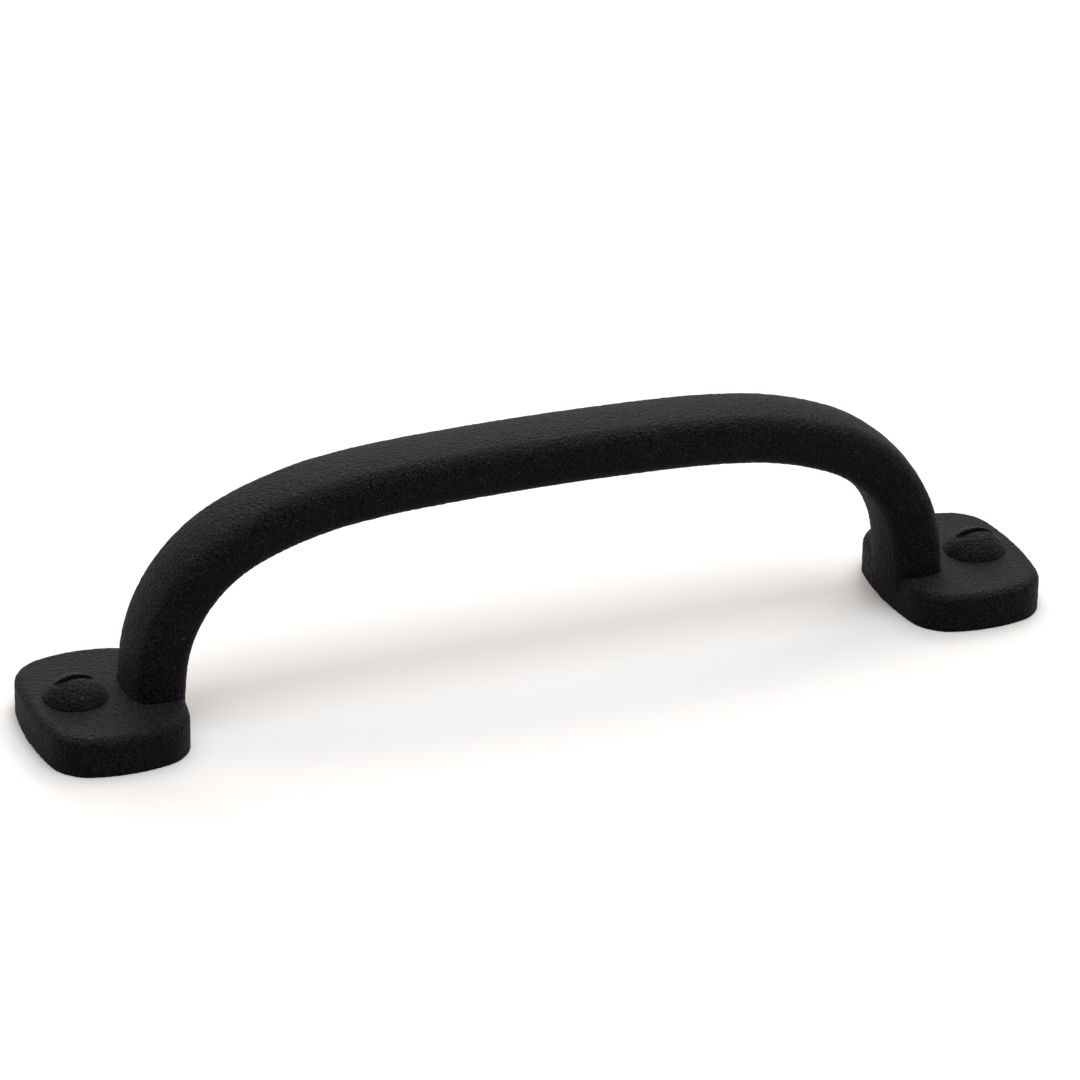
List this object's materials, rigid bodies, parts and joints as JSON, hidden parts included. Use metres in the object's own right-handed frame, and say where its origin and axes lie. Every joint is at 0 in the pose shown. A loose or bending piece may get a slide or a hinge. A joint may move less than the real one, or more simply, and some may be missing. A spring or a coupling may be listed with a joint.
{
  "type": "bow pull handle",
  "caption": "Arched black nylon pull handle on cushion-shaped feet, with slotted round-head face screws and rear M4 fixing threads.",
  "frame": {"origin": "centre of the plane that both feet stand on, half-way between them", "axes": "+X along the handle from the left foot to the right foot, +Z out of the door or sash, towards the top of the arch"},
  "size_m": [0.168, 0.0312, 0.0405],
  "materials": {
    "bar_nylon": "matte black powder-grained nylon",
    "foot_nylon": "matte black powder-grained nylon",
    "screw_black": "steel with a matte black powder finish",
    "spring_steel": "zinc-plated spring steel",
    "brass": "turned brass"
  },
  "bodies": {
    "handle": {"grip_bar": "bar_nylon", "left_foot": "foot_nylon", "left_screw_insert": "brass", "left_fixing_bush": "brass", "right_foot": "foot_nylon", "right_screw_insert": "brass", "right_fixing_bush": "brass"},
    "left_washer": {"left_lock_washer": "spring_steel"},
    "left_screw": {"left_face_screw": "screw_black"},
    "right_washer": {"right_lock_washer": "spring_steel"},
    "right_screw": {"right_face_screw": "screw_black"}
  },
  "joints": [
    {"name": "left_screw_lift", "type": "slide", "parent": "handle", "child": "left_washer", "axis": [0, 0, 1], "range_m": [0, 0.0048]},
    {"name": "left_screw_turn", "type": "hinge", "parent": "left_washer", "child": "left_screw", "pos_m": [-0.0762, 0, 0.0063], "axis": [0, 0, 1], "range_deg": [0, 2161]},
    {"name": "right_screw_lift", "type": "slide", "parent": "handle", "child": "right_washer", "axis": [0, 0, 1], "range_m": [0, 0.0048]},
    {"name": "right_screw_turn", "type": "hinge", "parent": "right_washer", "child": "right_screw", "pos_m": [0.0762, 0, 0.0063], "axis": [0, 0, 1], "range_deg": [0, 2161]}
  ],
  "couplings": [
    {"joint": "left_screw_turn", "follows": "left_screw_lift", "rad_per_m": 7854},
    {"joint": "right_screw_turn", "follows": "right_screw_lift", "rad_per_m": 7854}
  ]
}
